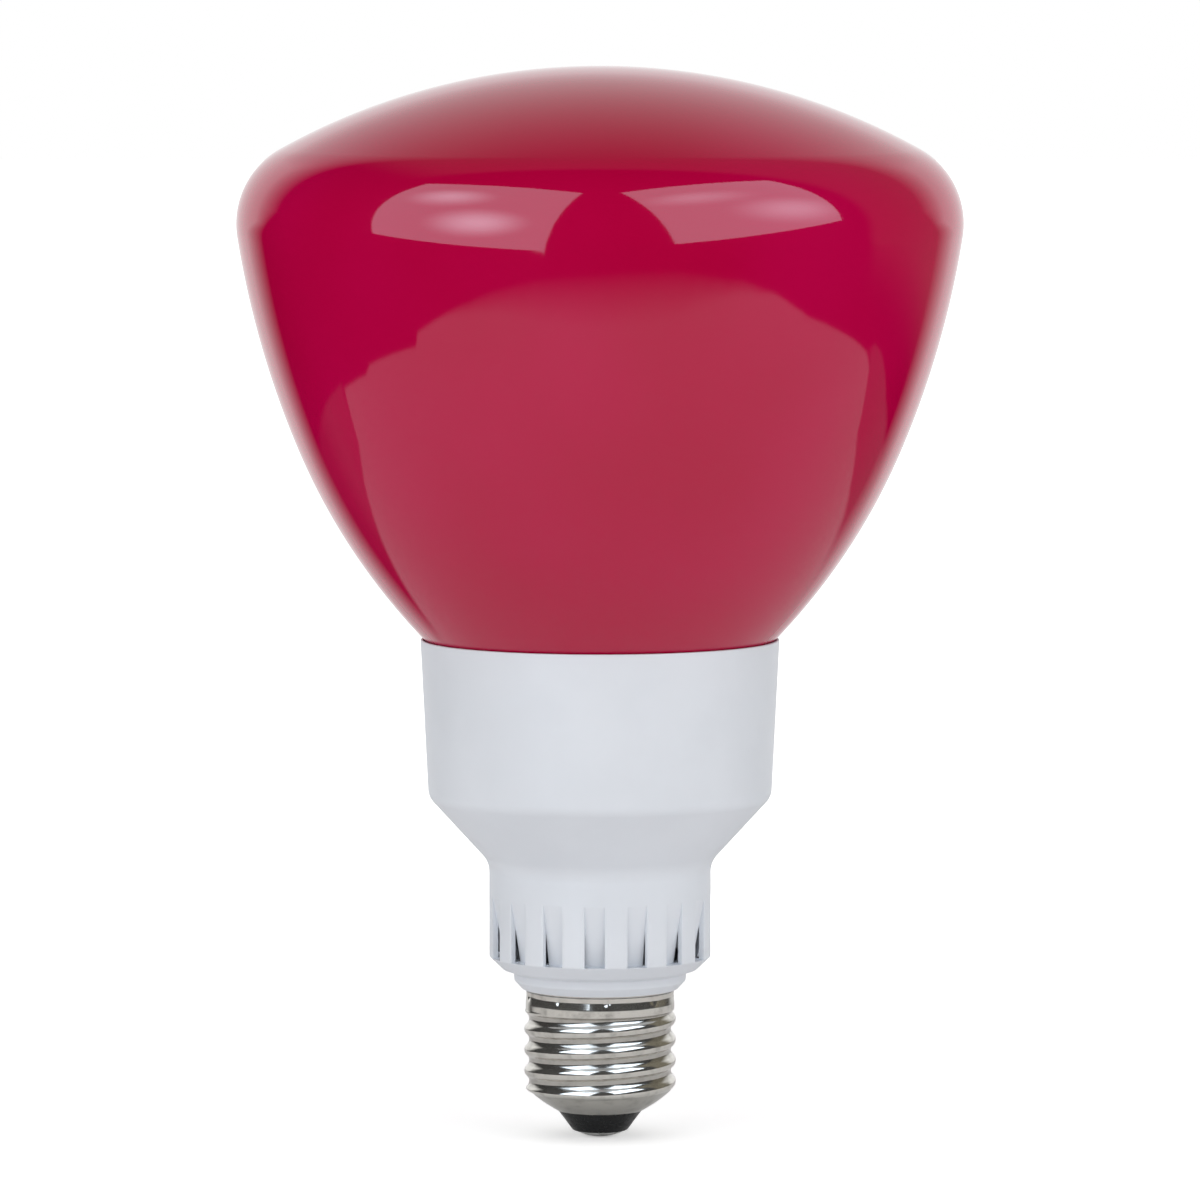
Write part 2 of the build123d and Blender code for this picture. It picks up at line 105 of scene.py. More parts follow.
class Finish(Nodes):
    # one material, with a Principled shader that is fed by name
    def __init__(self, name):
        self.material = bpy.data.materials.new(name)
        self.material.use_nodes = True
        super().__init__(self.material.node_tree)
        self.spot = self.node("TexCoord", {}, {}, "Object")

    def surface(self, **sockets):
        named = {key.replace("_", " "): value for key, value in sockets.items()}
        self.feed(self.tree.nodes["Principled BSDF"], named)
        return self.material

    def cloud(self, scale, detail, rough=0.5, stretch=None):
        # noise, with its scale per metre
        place = self.spot
        if stretch:
            place = self.node("Mapping", {}, {"Vector": self.spot, "Scale": stretch})
        sockets = {"Vector": place, "Scale": scale, "Detail": detail, "Roughness": rough}
        return self.node("TexNoise", {}, sockets)

    def between(self, value, low, high, kind="SMOOTHSTEP"):
        ends = {"Value": value, "From Min": low, "From Max": high}
        return self.node("MapRange", {"interpolation_type": kind}, ends)

    def mix(self, factor, first, second):
        ends = [(*colour, 1) if isinstance(colour, tuple) else colour for colour in (first, second)]
        return self.node("Mix", {"data_type": "RGBA"}, {0: factor, 6: ends[0], 7: ends[1]}, 2)

    def vector(self, operation, *terms, output=0):
        return self.node("VectorMath", {"operation": operation}, dict(enumerate(terms)), output)

    def reach(self, centre=(0, 0, 0), weights=(1, 1, 1)):
        # distance from a point, with each axis weighted
        gap = self.vector("MULTIPLY", self.vector("SUBTRACT", self.spot, centre), weights)
        return self.vector("LENGTH", gap, output="Value")

    def relief(self, height, depth, strength):
        return self.node("Bump", {}, {"Height": height, "Distance": depth, "Strength": strength})


# Mesh helpers


def arcPoints(centre, radius, start, end, step):
    # angles in degrees, both ends included
    count = max(2, ceil(abs(end - start) * pi / 180 * abs(radius) / step))
    points = []
    for index in range(count + 1):
        angle = radians(start + (end - start) * index / count)
        points.append((centre[0] + radius * cos(angle), centre[1] + radius * sin(angle)))
    return points


def linePoints(start, end, step):
    count = max(1, ceil(hypot(end[0] - start[0], end[1] - start[1]) / step))
    return [tuple(Vector(start).lerp(Vector(end), index / count)) for index in range(count + 1)]


def roundedPath(corners):
    # corners are (radius, z, blend), and the inner ones are rounded by their blend
    arcStep, leastTurn = 6.0, 1.0  # degrees
    path = [corners[0][:2]]
    for before, corner, after in zip(corners, corners[1:], corners[2:]):
        here = Vector(corner[:2])
        to = (Vector(before[:2]) - here).normalized()
        fro = (Vector(after[:2]) - here).normalized()
        half = to.angle(fro) / 2
        turn = 180 - degrees(2 * half)
        blend = corner[2]
        if blend == 0 or turn < leastTurn:
            path.append(tuple(here))
            continue
        middle = (to + fro).normalized()
        centre = here + middle * (blend / sin(half))
        first = here + to * (blend / tan(half)) - centre
        last = here + fro * (blend / tan(half)) - centre
        start = degrees(atan2(first.y, first.x))
        sweep = degrees(atan2(first.x * last.y - first.y * last.x, first.dot(last)))
        count = ceil(turn / arcStep)
        for index in range(count + 1):
            angle = radians(start + sweep * index / count)
            path.append((centre.x + blend * cos(angle), centre.y + blend * sin(angle)))
    path.append(corners[-1][:2])
    return path


def widthAt(path, z):
    # radius of a path that rises or falls all the way, by its height
    for (r0, z0), (r1, z1) in zip(path, path[1:]):
        if min(z0, z1) <= z <= max(z0, z1):
            return r0 if z0 == z1 else r0 + (r1 - r0) * (z - z0) / (z1 - z0)
    return path[0][0] if abs(path[0][1] - z) < abs(path[-1][1] - z) else path[-1][0]


def ringGrid(rings, closed):
    # faces between rings of equal length, and round each ring
    across = len(rings[0])
    pairs = len(rings) if closed else len(rings) - 1
    faces = []
    for row in range(pairs):
        after = (row + 1) % len(rings)
        for column in range(across):
            side = (column + 1) % across
            corners = ((row, column), (row, side), (after, side), (after, column))
            faces.append(tuple(ring * across + place for ring, place in corners))
    return faces


def addPiece(name, points, faces, material, node, crease=40):
    # joins the points, creases what turns by more than the angle given, and stands for a CAD node
    merge = 0.002 * mm
    mesh = bpy.data.meshes.new(name)
    shape = bmesh.new()
    corners = [shape.verts.new(point) for point in points]
    for face in faces:
        shape.faces.new([corners[index] for index in face])
    bmesh.ops.remove_doubles(shape, verts=shape.verts, dist=merge)
    bmesh.ops.recalc_face_normals(shape, faces=shape.faces)
    for face in shape.faces:
        face.smooth = True
    shape.to_mesh(mesh)
    shape.free()
    mesh.set_sharp_from_angle(angle=radians(crease))
    piece = bpy.data.objects.new(name, mesh)
    bpy.context.scene.collection.objects.link(piece)
    mesh.materials.append(material)
    normals = piece.modifiers.new("flat faces stay flat", "WEIGHTED_NORMAL")
    normals.keep_sharp = True
    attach(piece, "root")
    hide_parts(node)
    print(name, len(mesh.polygons), "faces")


def lathe(profile, segments, shift):
    # one ring of points for each profile point; shift gives how far a point moves out
    rings = []
    for radius, z in profile:
        ring = []
        for index in range(segments):
            angle = tau * index / segments
            grown = radius + (shift(radius, angle, z) if radius > 0 else 0)
            ring.append((grown * cos(angle), grown * sin(angle), z))
        rings.append(ring)
    return rings


def flat(rings):
    return [point for ring in rings for point in ring]


# Red glass reflector

glassLow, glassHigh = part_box("glass_reflector")
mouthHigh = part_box("ballast_housing")[1]
glassSettings = {
    "crownRadius": 113 * mm,
    "rimRadius": 14.6 * mm,
    "shoulderAngle": 8.85,
    "seatAngle": 43.8,
    "seatLip": 0.6 * mm,
    "wall": 1.2 * mm,
    "neckRadius": 27.35 * mm,
    "neckBlend": 6 * mm,
    "segments": 256,
    "step": 1.4 * mm,
    "rimStep": 0.5 * mm,
    "wobble": 0.04 * mm,  # blown glass is never quite true
    "wobbleScale": 22.0,
    "wobbleFade": 20 * mm,  # above the seat, where it is held true
    "deepRed": (0.425, 0.0004, 0.041),
    "brightRed": (0.465, 0.0008, 0.056),
    "tintScale": 16.0,
    "rough": 0.035,
    "roughSpread": 0.03,
    "roughScale": 45.0,
    "rippleScale": 70.0,
    "rippleDepth": 0.05 * mm,
    "rippleStrength": 0.25,
}


def falling(angle):
    # outward direction, by degrees below level
    return Vector((cos(radians(angle)), -sin(radians(angle))))


def flankArcs(start, end):
    # two tangent arcs from the rim to the seat
    normals = (falling(glassSettings["shoulderAngle"]), falling(glassSettings["seatAngle"]))
    tangents = [Vector((normal.y, -normal.x)) for normal in normals]
    chord = end - start
    bend = 2 * (1 - tangents[0].dot(tangents[1]))
    along = chord.dot(tangents[0] + tangents[1])
    reach = (sqrt(along**2 + bend * chord.dot(chord)) - along) / bend
    middle = (start + end + (tangents[0] - tangents[1]) * reach) / 2
    arcs = []
    for point, normal in ((start, normals[0]), (end, normals[1])):
        span = middle - point
        radius = -span.dot(span) / (2 * span.dot(normal))
        arcs.append((point - normal * radius, radius))
    outwards = middle - arcs[0][0]
    return arcs, degrees(atan2(-outwards.y, outwards.x))


def glassProfile(grow, step):
    # crown, rim, two arcs of the flank, bend of the neck and the neck
    size = glassSettings
    rimPlace = (glassHigh.x - glassLow.x) / 2 - size["rimRadius"]
    crownZ = glassHigh.z - size["crownRadius"]
    reach = size["crownRadius"] - size["rimRadius"]
    rimTop = 90 - degrees(asin(rimPlace / reach))
    shoulder = -size["shoulderAngle"]
    rimCentre = Vector((rimPlace, crownZ + sqrt(reach**2 - rimPlace**2)))
    start = rimCentre + falling(size["shoulderAngle"]) * size["rimRadius"]
    seat = Vector((mouthHigh.x - size["seatLip"], mouthHigh.z))
    (upper, lower), flankAngle = flankArcs(start, seat)
    across = size["neckRadius"] + size["neckBlend"] - lower[0].x
    down = sqrt((lower[1] + size["neckBlend"]) ** 2 - across**2)
    neckAngle = degrees(atan2(down, across))
    neckCentre = (size["neckRadius"] + size["neckBlend"], lower[0].y - down)
    neckRadius = size["neckRadius"] + grow
    runs = [
        arcPoints((0, crownZ), size["crownRadius"] + grow, 90, rimTop, step),
        arcPoints(rimCentre, size["rimRadius"] + grow, rimTop, shoulder, size["rimStep"]),
        arcPoints(upper[0], upper[1] + grow, shoulder, -flankAngle, step),
        arcPoints(lower[0], lower[1] + grow, -flankAngle, -neckAngle, step),
        arcPoints(neckCentre, size["neckBlend"] - grow, 180 - neckAngle, 180, step),
        linePoints((neckRadius, neckCentre[1]), (neckRadius, glassLow.z), step),
    ]
    points = runs[0]
    for run in runs[1:]:
        points = points + run[1:]
    return points


def glassWobble(radius, angle, z):
    size = glassSettings
    place = Vector((radius * cos(angle), radius * sin(angle), z)) * size["wobbleScale"]
    fade = min(1.0, max(0.0, (z - mouthHigh.z) / size["wobbleFade"]))
    return size["wobble"] * noise.noise(place) * fade


def redGlass():
    look = glassSettings
    finish = Finish("red_glass")
    tint = finish.between(finish.cloud(look["tintScale"], 2.0), 0.35, 0.65)
    colour = finish.mix(tint, look["deepRed"], look["brightRed"])
    gloss = finish.cloud(look["roughScale"], 3.0) * look["roughSpread"] + look["rough"]
    waves = finish.cloud(look["rippleScale"], 2.0)
    ripple = finish.relief(waves, look["rippleDepth"], look["rippleStrength"])
    return finish.surface(Base_Color=colour, Roughness=gloss, Normal=ripple, IOR=1.5)


outside = glassProfile(0, glassSettings["step"])
inside = glassProfile(-glassSettings["wall"], 2 * glassSettings["step"])
glassRings = lathe(outside + inside[::-1], glassSettings["segments"], glassWobble)
glassFaces = ringGrid(glassRings, False)
addPiece("reflector_glass", flat(glassRings), glassFaces, redGlass(), "glass_reflector")


# White moulded housing with its louvred vents

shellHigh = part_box("screw_shell")[1]
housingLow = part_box("ballast_housing")[0]
housingSettings = {
    "seatRadius": 13.5 * mm,
    "ringRadius": 14.9 * mm,
    "ringWall": 1.0 * mm,
    "ringHeight": 2.8 * mm,
    "ringBevel": 1.4 * mm,
    "ringDraft": 0.1 * mm,
    "finFootRadius": 16.8 * mm,
    "finFootRise": 0.6 * mm,
    "collarRadius": 19.1 * mm,
    "collarWall": 1.0 * mm,
    "collarBevel": 2.2 * mm,
    "collarHeight": 16.3 * mm,
    "collarBlend": 4.5 * mm,
    "coneHeight": 11.4 * mm,
    "drumFootRadius": 29.55 * mm,
    "drumBlend": 3.0 * mm,
    "wall": 1.8 * mm,
    "spigotRadius": 11.68 * mm,
    "spigotWall": 1.5 * mm,
    "seatGap": 0.15 * mm,
    "lipRound": 0.25 * mm,
    "edgeRound": 0.35 * mm,
    "edgeTuck": 0.3,  # share of the rounding that is cut off at its middle
    "cornerRound": 0.5 * mm,
    "vents": 16,
    "ventTurn": -92.8,
    "ventWidth": 3.4 * mm,
    "ventHeight": 10.8 * mm,
    "louvreDepth": 2.2 * mm,
    "louvreWall": 1.5 * mm,
    "shelfLip": 0.15 * mm,
    "louvreColumns": (0.0, 0.5),
    "finColumns": 4,
    "rowStep": 0.5 * mm,
    "rowGap": 0.02 * mm,
    "shadeWhite": (0.725, 0.76, 0.81),
    "paleWhite": (0.755, 0.79, 0.84),
    "toneScale": 60.0,
    "rough": 0.36,
    "roughSpread": 0.12,
    "roughScale": 350.0,
    "grainScale": 5200.0,
    "grainDepth": 0.012 * mm,
    "grainStrength": 0.35,
}


def housingPlaces():
    # heights of the corners, from the shell's rim upwards
    size = housingSettings
    rim = shellHigh.z
    ring = rim + size["ringHeight"]
    finFoot = ring + size["finFootRise"]
    bevel = finFoot + size["collarBevel"]
    cone = bevel + size["collarHeight"]
    drum = cone + size["coneHeight"]
    return rim, ring, finFoot, bevel, cone, drum


def cornerLift(rise, run, thickness):
    # how much higher the inside of a wall turns, where it goes from a slope to upright
    slope = rise / run
    return thickness * (sqrt(1 + slope**2) - slope)


def housingPaths():
    # outside from the mouth down to the seat, then the spigot, and inside up to the mouth
    size = housingSettings
    rim, ring, finFoot, bevel, cone, drum = housingPlaces()
    mouth, top = mouthHigh.x, mouthHigh.z
    collar, wall = size["collarRadius"], size["wall"]
    drumLift = cornerLift(size["coneHeight"], size["drumFootRadius"] - collar, wall)
    lipRadius = mouth - glassSettings["seatLip"] + size["seatGap"] / cos(radians(glassSettings["seatAngle"]))
    bore = mouth - wall
    seatFoot = top - (lipRadius - bore) / tan(radians(glassSettings["seatAngle"]))
    spigotBore = size["spigotRadius"] - size["spigotWall"]
    outer = roundedPath(
        [
            (lipRadius, top, 0),
            (mouth, top, size["lipRound"]),
            (size["drumFootRadius"], drum, size["drumBlend"]),
            (collar, cone, size["collarBlend"]),
            (collar, bevel, size["cornerRound"]),
            (size["finFootRadius"], finFoot, size["edgeRound"]),
            (size["ringRadius"], ring, size["edgeRound"]),
            (size["ringRadius"] - size["ringDraft"], rim + size["ringBevel"], size["cornerRound"]),
            (size["seatRadius"], rim, 0),
        ]
    )
    foot = [
        (size["spigotRadius"], rim),
        (size["spigotRadius"], housingLow.z),
        (spigotBore, housingLow.z),
        (spigotBore, rim + wall),
        (size["ringRadius"] - size["ringWall"], rim + wall),
    ]
    inner = [
        (collar - size["collarWall"], bevel + size["shelfLip"]),
        (collar - size["collarWall"], cone + drumLift),
        (size["drumFootRadius"] - wall, drum + drumLift),
        (bore, seatFoot),
    ]
    return outer, foot, inner


def louvreRadius(z):
    # outside of the sloping louvre
    size = housingSettings
    top = housingPlaces()[3] + size["ventHeight"]
    return size["collarRadius"] - size["louvreDepth"] * (top - z) / size["ventHeight"]


def ventRows(outer):
    # heights of the rows through the vents, and the ends of the side openings
    size = housingSettings
    foot = housingPlaces()[3]
    shelf = foot + size["shelfLip"]
    top = foot + size["ventHeight"]
    openTop = top - size["ventHeight"] * size["collarWall"] / size["louvreDepth"]
    heights = [z for _, z in outer if shelf < z < top]
    heights += [z for _, z in linePoints((0, shelf), (0, top), size["rowStep"])]
    heights = sorted(heights + [openTop], reverse=True)
    rows = [top]
    for z in heights:
        if rows[-1] - z > size["rowGap"] or z in (openTop, shelf):
            rows.append(z)
    return rows + [foot], (shelf, openTop)


def sectorRing(section, finRadius, z):
    # section lists (offset, radius) from the middle of a vent to the edge of its fin
    size = housingSettings
    sector = tau / size["vents"]
    half = [asin(offset / radius) for offset, radius in section]
    columns = range(1, size["finColumns"] + 1)
    fins = [half[-1] + (sector / 2 - half[-1]) * column / size["finColumns"] for column in columns]
    spread = [(angle, radius) for angle, (_, radius) in zip(half, section)]
    spread += [(angle, finRadius) for angle in fins]
    ring = []
    for index in range(size["vents"]):
        middle = radians(size["ventTurn"]) + index * sector
        for angle, radius in spread[-2:0:-1]:
            ring.append((radius * cos(middle - angle), radius * sin(middle - angle), z))
        for angle, radius in spread:
            ring.append((radius * cos(middle + angle), radius * sin(middle + angle), z))
    return ring


def ventSection(finRadius, floorRadius, wallFoot, edge):
    # across the louvre, up the side of the fin and round its edge
    size = housingSettings
    half = size["ventWidth"] / 2
    edge = min(edge, (finRadius - floorRadius) / 2)
    tuck = size["edgeTuck"] * edge
    foot = min(max(floorRadius, wallFoot), finRadius - edge)
    section = [(half * share, floorRadius) for share in size["louvreColumns"]]
    section += [(half, floorRadius), (half, foot), (half, finRadius - edge)]
    section += [(half + tuck, finRadius - tuck), (half + edge, finRadius)]
    return section


def plainRing(radius, z):
    return sectorRing(ventSection(radius, radius, radius, 0), radius, z)


def housingRings():
    # all the rings from the lip down the outside and up the inside, and the rows of the vents
    size = housingSettings
    outer, foot, inner = housingPaths()
    rows, opening = ventRows(outer)
    rings = [plainRing(radius, z) for radius, z in outer if z > rows[0]]
    first = len(rings)
    for z in rows:
        fin = widthAt(outer[1:], z)
        wallFoot = inner[0][0] if z >= opening[0] else 0
        section = ventSection(fin, min(fin, louvreRadius(z)), wallFoot, size["edgeRound"])
        rings.append(sectorRing(section, fin, z))
    rings.append(plainRing(widthAt(outer[1:], rows[-1]), rows[-1]))
    rings += [plainRing(radius, z) for radius, z in outer + foot if z < rows[-1]]
    second = len(rings)
    rings.append(plainRing(louvreRadius(opening[0]) - size["louvreWall"], opening[0]))
    for z in rows[-2::-1]:
        fin = widthAt(inner, z)
        section = ventSection(fin, min(fin, louvreRadius(z) - size["louvreWall"]), fin, 0)
        rings.append(sectorRing(section, fin, z))
    rings += [plainRing(radius, z) for radius, z in inner if z > rows[0]]
    return rings, rows, opening, first, second


def housingFaces(rings, rows, opening, first, second):
    # leaves out the openings beside each louvre, and closes the sides of the louvre there
    size = housingSettings
    across = len(rings[0])
    perVent = across // size["vents"]
    middle = perVent // 2 - 1
    edge = len(size["louvreColumns"])
    gaps = (middle + edge, middle - edge - 1)
    last = second + len(rows) - 1
    faces = ringGrid(rings, True)
    opened = set()
    for index, (high, low) in enumerate(zip(rows, rows[1:])):
        if not opening[0] < (high + low) / 2 < opening[1]:
            continue
        for row in (first + index, last - index - 1):
            opened.update(row * across + column for column in range(across) if column % perVent in gaps)
        for vent in range(size["vents"]):
            for side in (-edge, edge):
                column = vent * perVent + middle + side
                corners = (first + index, first + index + 1, last - index - 1, last - index)
                faces.append(tuple(row * across + column for row in corners))
    return [face for face in faces if face[0] not in opened or face[3] - face[0] != across]


def whitePlastic():
    look = housingSettings
    finish = Finish("white_housing")
    tone = finish.between(finish.cloud(look["toneScale"], 3.0), 0.3, 0.7)
    colour = finish.mix(tone, look["shadeWhite"], look["paleWhite"])
    gloss = finish.cloud(look["roughScale"], 2.0) * look["roughSpread"] + look["rough"]
    pores = finish.cloud(look["grainScale"], 2.0)
    grain = finish.relief(pores, look["grainDepth"], look["grainStrength"])
    return finish.surface(Base_Color=colour, Roughness=gloss, Normal=grain, IOR=1.49)


housing = housingRings()
mouldedPoints = flat(housing[0])
mouldedFaces = housingFaces(*housing)
addPiece("moulded_housing", mouldedPoints, mouldedFaces, whitePlastic(), "ballast_housing")


# Nickel screw shell with its rolled thread

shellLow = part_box("screw_shell")[0]
shellSettings = {
    "crestRadius": 13.1 * mm,
    "threadDepth": 0.85 * mm,
    "pitch": 3.63 * mm,
    "threadStart": 6.0 * mm,
    "turns": 4.75,
    "runOut": 0.22,  # share of a turn over which the thread fades
    "threadFoot": (0.4 * mm, 0.6 * mm),  # below and above the top of the skirt, where it comes in
    "wall": 0.4 * mm,
    "holeRadius": 7.4 * mm,
    "skirtHeight": 3.5 * mm,
    "skirtBulge": 0.35 * mm,
    "bandRadius": 12.85 * mm,
    "bandHeight": 3.6 * mm,
    "shoulder": 0.6 * mm,
    "groovePlace": 1.15 * mm,  # below the rim
    "grooveReach": 1.35 * mm,
    "grooveDepth": 0.13 * mm,
    "neckHeight": 0.3 * mm,  # drawn in under the housing
    "neckDepth": 0.25 * mm,
    "stakes": 9,
    "stakeTurn": -84.0,
    "stakeHeight": 2.3 * mm,
    "stakeReach": 0.75 * mm,
    "stakeDepth": 0.28 * mm,
    "stakePoint": 1.3,  # 1 is a plain cone
    "segments": 320,
    "rowStep": 0.15 * mm,
    "crease": 60,
    "brightNickel": (0.68, 0.665, 0.62),
    "stainedNickel": (0.48, 0.465, 0.43),
    # darker colour towards the thread roots and on the skirt, set by distance from the axis
    "rootColour": (0.19, 0.18, 0.165),
    "rootCover": 0.35,
    "rootReach": (12.25 * mm, 12.75 * mm),  # radii between which the darkening towards the roots ends
    "metallic": 0.9,
    "rough": 0.06,
    "lineRough": 0.07,
    "stainRough": 0.09,
    "rootRough": 0.05,
    "lineScale": 300.0,
    "lineStretch": (1, 1, 30),  # drawn and rolled round the shell
    "lineDepth": 0.006 * mm,
    "lineStrength": 0.5,
    "stainScale": 420.0,
}


def threadRise(angle, z):
    # knuckle thread: crest and root arcs of one radius, tangent half way down the flank
    size = shellSettings
    depth, pitch = size["threadDepth"], size["pitch"]
    knuckle = (depth**2 + pitch**2 / 4) / (4 * depth)
    turn = (z - size["threadStart"]) / pitch - (angle % tau) / tau
    away = abs(turn - round(turn)) * pitch
    lead = round(turn) + (angle % tau) / tau  # turns from the start to the nearest crest
    fade = min(1.0, max(0.0, (lead + size["runOut"]) / size["runOut"]))
    fade = min(fade, max(0.0, (size["turns"] + size["runOut"] - lead) / size["runOut"]), 1.0)
    if away < pitch / 4:
        rise = depth - knuckle + sqrt(knuckle**2 - away**2)
    else:
        rise = knuckle - sqrt(knuckle**2 - (pitch / 2 - away) ** 2)
    return rise * fade


def stakeDent(angle, z):
    # round dents that hold the shell on the housing
    size = shellSettings
    step = tau / size["stakes"]
    turn = (angle - radians(size["stakeTurn"])) / step
    away = (turn - round(turn)) * step * size["bandRadius"]
    reach = hypot(away, z - shellHigh.z + size["bandHeight"] - size["stakeHeight"])
    return size["stakeDepth"] * max(0.0, 1 - reach / size["stakeReach"]) ** size["stakePoint"]


def bandGroove(z):
    size = shellSettings
    away = abs(z - shellHigh.z + size["groovePlace"]) / size["grooveReach"]
    return size["grooveDepth"] * max(0.0, 1 - away)


def smooth(value, low, high):
    share = min(1.0, max(0.0, (value - low) / (high - low)))
    return share * share * (3 - 2 * share)


def shellPoint(angle, z, inset):
    # the skirt, the thread and the plain band, one after the other up the shell
    size = shellSettings
    root = size["crestRadius"] - size["threadDepth"]
    floor = shellLow.z + size["skirtHeight"]
    bandFoot = shellHigh.z - size["bandHeight"]
    share = min(1.0, (z - shellLow.z) / size["skirtHeight"])
    skirt = size["holeRadius"] + (root - size["holeRadius"]) * share
    skirt += size["skirtBulge"] * sin(pi * share)
    body = smooth(z, floor - size["threadFoot"][0], floor + size["threadFoot"][1])
    band = smooth(z, bandFoot - size["shoulder"], bandFoot)
    radius = skirt + threadRise(angle, z) * body * (1 - band) + (size["bandRadius"] - root) * band
    neckFoot = shellHigh.z - size["neckHeight"]
    neck = smooth(z, neckFoot - size["rowStep"], neckFoot)
    return radius - stakeDent(angle, z) - bandGroove(z) - size["neckDepth"] * neck - inset


def shellRings():
    size = shellSettings
    heights = [z for _, z in linePoints((0, shellLow.z), (0, shellHigh.z), size["rowStep"])]
    levels = [(z, 0.0) for z in heights]
    levels += [(z, size["wall"]) for z in heights[::-2]]
    rings = []
    for z, inset in levels:
        ring = []
        for index in range(size["segments"]):
            angle = tau * index / size["segments"]
            radius = shellPoint(angle, z, inset)
            ring.append((radius * cos(angle), radius * sin(angle), z))
        rings.append(ring)
    return rings


def nickel():
    look = shellSettings
    finish = Finish("nickel_shell")
    lines = finish.cloud(look["lineScale"], 2.0, stretch=look["lineStretch"])
    stain = finish.between(finish.cloud(look["stainScale"], 4.0, 0.6), 0.45, 0.75)
    # darker and rougher where the shell is narrower: in the thread roots and on the whole skirt
    roots = 1 - finish.between(finish.reach(weights=(1, 1, 0)), *look["rootReach"])
    bright = finish.mix(stain, look["brightNickel"], look["stainedNickel"])
    colour = finish.mix(roots * look["rootCover"], bright, look["rootColour"])
    gloss = lines * look["lineRough"] + stain * look["stainRough"]
    gloss = gloss + roots * look["rootRough"] + look["rough"]
    marks = finish.relief(lines, look["lineDepth"], look["lineStrength"])
    return finish.surface(Base_Color=colour, Metallic=look["metallic"], Roughness=gloss, Normal=marks)


shell = shellRings()
shellFaces = ringGrid(shell, True)
crease = shellSettings["crease"]
addPiece("threaded_shell", flat(shell), shellFaces, nickel(), "screw_shell", crease)


# Black glass insulator and the soldered contact

insulatorLow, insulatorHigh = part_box("base_insulator")
contactLow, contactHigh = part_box("centre_contact")
insulatorSettings = {
    "footRadius": 4.7 * mm,
    "throatRadius": 7.3 * mm,
    "throatHeight": 0.75 * mm,
    "footRound": 0.5 * mm,
    "flangeHeight": 1.3 * mm,
    "edgeRound": 0.3 * mm,
    "boreRadius": 1.0 * mm,
    "segments": 128,
    "step": 0.4 * mm,
    "wobble": 0.05 * mm,
    "wobbleScale": 420.0,
    "deepBlack": (0.004, 0.0045, 0.005),
    "greyBlack": (0.012, 0.013, 0.014),
    "flowScale": 380.0,
    "mirror": 0.28,  # specular level
    "rough": 0.16,
    "roughSpread": 0.22,
    "roughScale": 900.0,
    "pitScale": 1500.0,
    "pitDepth": 0.05 * mm,
    "pitStrength": 0.35,
}
contactSettings = {
    "stemRadius": 0.9 * mm,
    "capHeight": 1.1 * mm,
    "segments": 96,
    "step": 0.25 * mm,
    "wobble": 0.07 * mm,
    "wobbleScale": 700.0,
    "brightTin": (0.8, 0.8, 0.79),
    "dullTin": (0.5, 0.5, 0.49),
    "dullScale": 800.0,
    "rough": 0.3,
    "roughSpread": 0.25,
    "lumpScale": 1300.0,
    "lumpDepth": 0.06 * mm,
    "lumpStrength": 0.4,
}


def castWobble(size):
    # unevenness of a piece that was poured
    def shift(radius, angle, z):
        place = Vector((radius * cos(angle), radius * sin(angle), z)) * size["wobbleScale"]
        return size["wobble"] * noise.noise(place)

    return shift


def insulatorProfile():
    size = insulatorSettings
    flange = insulatorHigh.x
    flangeFoot = insulatorHigh.z - size["flangeHeight"]
    corners = [
        (size["boreRadius"], insulatorLow.z, 0),
        (size["footRadius"], insulatorLow.z, size["footRound"]),
        (size["throatRadius"], shellLow.z, size["edgeRound"]),
        (size["throatRadius"], shellLow.z + size["throatHeight"], 0),
        (flange, flangeFoot, 0),
        (flange, insulatorHigh.z, size["edgeRound"]),
        (size["boreRadius"], insulatorHigh.z, 0),
    ]
    path = roundedPath(corners)
    points = []
    for start, end in zip(path, path[1:]):
        points += linePoints(start, end, size["step"])[:-1]
    return points + [path[-1]]


def blackGlass():
    look = insulatorSettings
    finish = Finish("black_glass")
    flow = finish.cloud(look["flowScale"], 4.0, 0.6)
    colour = finish.mix(flow, look["deepBlack"], look["greyBlack"])
    dull = finish.between(finish.cloud(look["roughScale"], 3.0), 0.3, 0.7)
    gloss = dull * look["roughSpread"] + look["rough"]
    pits = finish.relief(finish.cloud(look["pitScale"], 3.0), look["pitDepth"], look["pitStrength"])
    return finish.surface(Base_Color=colour, Roughness=gloss, Normal=pits, Specular_IOR_Level=look["mirror"])


def solder():
    look = contactSettings
    finish = Finish("tinned_contact")
    dull = finish.between(finish.cloud(look["dullScale"], 4.0, 0.6), 0.35, 0.7)
    colour = finish.mix(dull, look["brightTin"], look["dullTin"])
    gloss = dull * look["roughSpread"] + look["rough"]
    lumps = finish.relief(finish.cloud(look["lumpScale"], 3.0), look["lumpDepth"], look["lumpStrength"])
    return finish.surface(Base_Color=colour, Metallic=1.0, Roughness=gloss, Normal=lumps)


def contactProfile():
    # a low dome of solder on a short stem
    size = contactSettings
    wide, tall = contactHigh.x, size["capHeight"]
    dome = (wide**2 + tall**2) / (2 * tall)
    sweep = degrees(asin(wide / dome))
    cap = arcPoints((0, contactLow.z + dome), dome, -90, -90 + sweep, size["step"])
    stem = size["stemRadius"]
    return cap + [(stem, contactLow.z + tall), (stem, contactHigh.z), (0, contactHigh.z)]


insulator = lathe(insulatorProfile(), insulatorSettings["segments"], castWobble(insulatorSettings))
insulatorFaces = ringGrid(insulator, True)
addPiece("fused_insulator", flat(insulator), insulatorFaces, blackGlass(), "base_insulator")
contact = lathe(contactProfile(), contactSettings["segments"], castWobble(contactSettings))
contactFaces = ringGrid(contact, False)
addPiece("solder_contact", flat(contact), contactFaces, solder(), "centre_contact")


# Finishes of the pieces inside, which keep their CAD meshes

